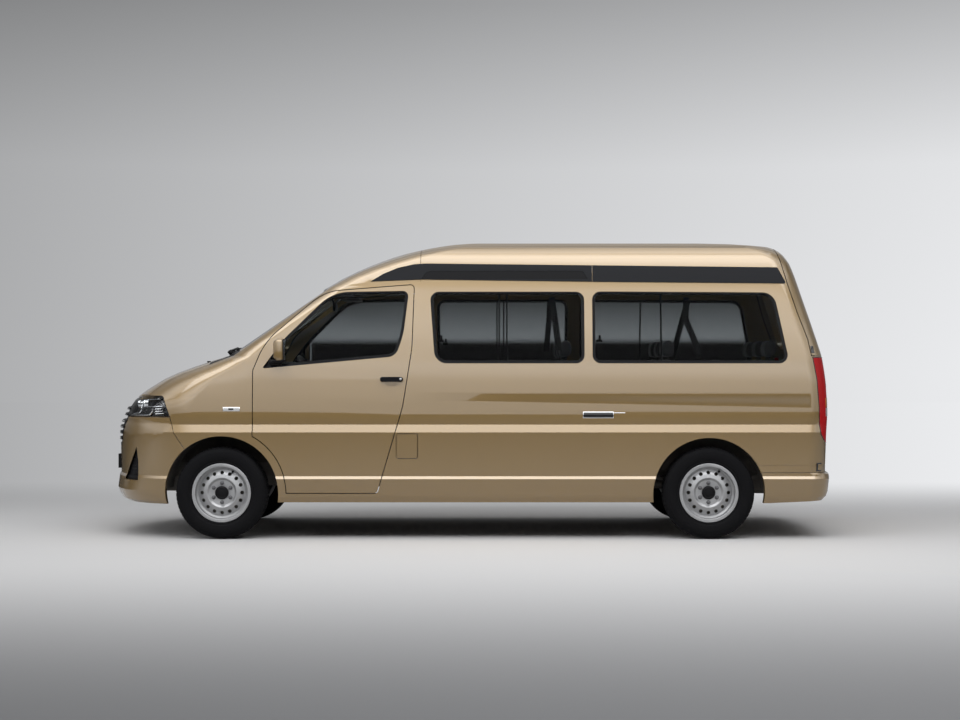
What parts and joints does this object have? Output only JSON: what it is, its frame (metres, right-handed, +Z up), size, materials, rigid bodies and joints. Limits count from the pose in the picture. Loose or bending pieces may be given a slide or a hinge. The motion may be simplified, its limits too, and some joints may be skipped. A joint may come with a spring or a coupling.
{
  "type": "minibus",
  "caption": "Long-wheelbase passenger minibus with a short sloping nose, steel wheels, swinging front doors, lifting tailgate and bonnet, and steered front wheels.",
  "frame": {"origin": "on the ground under the middle of the vehicle's length and width", "axes": "+X from the nose to the tail, +Y from the left side to the right side, +Z up"},
  "size_m": [5.225, 2.0532, 2.1199],
  "materials": {
    "body_paint": "beige metallic lacquer, glossy",
    "window_glass": "tinted safety glass",
    "black_trim": "grained black plastic",
    "head_lamp": "clear cover over a dark housing",
    "tail_lamp": "clear red plastic",
    "wheel_silver": "silver lacquer on pressed steel",
    "tyre_rubber": "black rubber",
    "seal_rubber": "soft black rubber",
    "arch_liner": "coarse black plastic",
    "chassis_black": "black chassis lacquer",
    "cast_metal": "bare casting",
    "exhaust_steel": "dull steel",
    "tank_plastic": "moulded black plastic",
    "cabin_plastic": "grained grey plastic",
    "floor_mat": "ribbed rubber mat",
    "seat_fabric": "grey woven cloth",
    "seat_metal": "black lacquer"
  },
  "bodies": {
    "chassis": {"front_bumper": "body_paint", "front_fenders": "body_paint", "left_body_side": "body_paint", "right_body_side": "body_paint", "roof": "body_paint", "sliding_door": "body_paint", "rear_bumper": "body_paint", "side_windows": "window_glass", "windscreen": "window_glass", "roof_trims": "black_trim", "scuttle_panel": "black_trim", "grille": "black_trim", "fuel_cap": "black_trim", "headlamps": "head_lamp", "tail_lamps": "tail_lamp", "door_seals": "seal_rubber", "wheel_liners": "arch_liner", "underframe": "chassis_black", "front_suspension": "chassis_black", "rear_axle": "chassis_black", "spare_wheel": "chassis_black", "engine": "cast_metal", "exhaust": "exhaust_steel", "fuel_tank": "tank_plastic", "dashboard": "cabin_plastic", "floor": "floor_mat", "front_seats": "seat_fabric", "rear_seats": "seat_fabric", "seat_frames": "seat_metal"},
    "left_door": {"front_door_left": "body_paint", "front_door_left_glass": "window_glass", "front_door_left_mirror": "black_trim", "front_door_left_handle": "black_trim"},
    "right_door": {"front_door_right": "body_paint", "front_door_right_glass": "window_glass", "front_door_right_mirror": "black_trim", "front_door_right_handle": "black_trim"},
    "rear_hatch": {"tailgate": "body_paint", "tailgate_glass": "window_glass"},
    "hood": {"bonnet": "body_paint"},
    "fuel_door": {"fuel_flap": "body_paint"},
    "steering": {"steering_wheel": "cabin_plastic"},
    "left_upright": {"knuckle_left": "cast_metal"},
    "right_upright": {"knuckle_right": "cast_metal"},
    "front_left_wheel": {"rim_front_left": "wheel_silver", "tyre_front_left": "tyre_rubber"},
    "front_right_wheel": {"rim_front_right": "wheel_silver", "tyre_front_right": "tyre_rubber"},
    "rear_left_wheel": {"rim_rear_left": "wheel_silver", "tyre_rear_left": "tyre_rubber"},
    "rear_right_wheel": {"rim_rear_right": "wheel_silver", "tyre_rear_right": "tyre_rubber"}
  },
  "joints": [
    {"name": "left_door_hinge", "type": "hinge", "parent": "chassis", "child": "left_door", "pos_m": [-1.5165, -0.902, 0.75], "axis": [0, 0, -1], "range_deg": [0, 65]},
    {"name": "right_door_hinge", "type": "hinge", "parent": "chassis", "child": "right_door", "pos_m": [-1.5165, 0.902, 0.75], "axis": [0, 0, 1], "range_deg": [0, 65]},
    {"name": "hatch_hinge", "type": "hinge", "parent": "chassis", "child": "rear_hatch", "pos_m": [2.1955, 0, 2.095], "axis": [0, -1, 0], "range_deg": [0, 85]},
    {"name": "hood_hinge", "type": "hinge", "parent": "chassis", "child": "hood", "pos_m": [-1.7265, 0, 1.292], "axis": [0, 1, 0], "range_deg": [0, 50]},
    {"name": "fuel_door_hinge", "type": "hinge", "parent": "chassis", "child": "fuel_door", "pos_m": [-0.506, -0.902, 0.655], "axis": [0, 0, -1], "range_deg": [0, 90]},
    {"name": "steering_turn", "type": "hinge", "parent": "chassis", "child": "steering", "pos_m": [-1.1245, -0.4, 1.13], "axis": [0.7986, 0, 0.6018], "range_deg": [-560, 560]},
    {"name": "left_kingpin", "type": "hinge", "parent": "chassis", "child": "left_upright", "pos_m": [-1.7395, -0.7075, 0.325], "axis": [0, 0, 1], "range_deg": [-35, 35]},
    {"name": "right_kingpin", "type": "hinge", "parent": "chassis", "child": "right_upright", "pos_m": [-1.7395, 0.7075, 0.325], "axis": [0, 0, 1], "range_deg": [-35, 35]},
    {"name": "front_left_spin", "type": "hinge", "parent": "left_upright", "child": "front_left_wheel", "pos_m": [-1.7395, -0.7825, 0.325], "axis": [0, 1, 0], "continuous": true},
    {"name": "front_right_spin", "type": "hinge", "parent": "right_upright", "child": "front_right_wheel", "pos_m": [-1.7395, 0.7825, 0.325], "axis": [0, 1, 0], "continuous": true},
    {"name": "rear_left_spin", "type": "hinge", "parent": "chassis", "child": "rear_left_wheel", "pos_m": [1.6905, -0.7825, 0.325], "axis": [0, 1, 0], "continuous": true},
    {"name": "rear_right_spin", "type": "hinge", "parent": "chassis", "child": "rear_right_wheel", "pos_m": [1.6905, 0.7825, 0.325], "axis": [0, 1, 0], "continuous": true}
  ],
  "couplings": [
    {"joint": "right_kingpin", "follows": "left_kingpin", "ratio": 1},
    {"joint": "steering_turn", "follows": "left_kingpin", "ratio": 16}
  ]
}
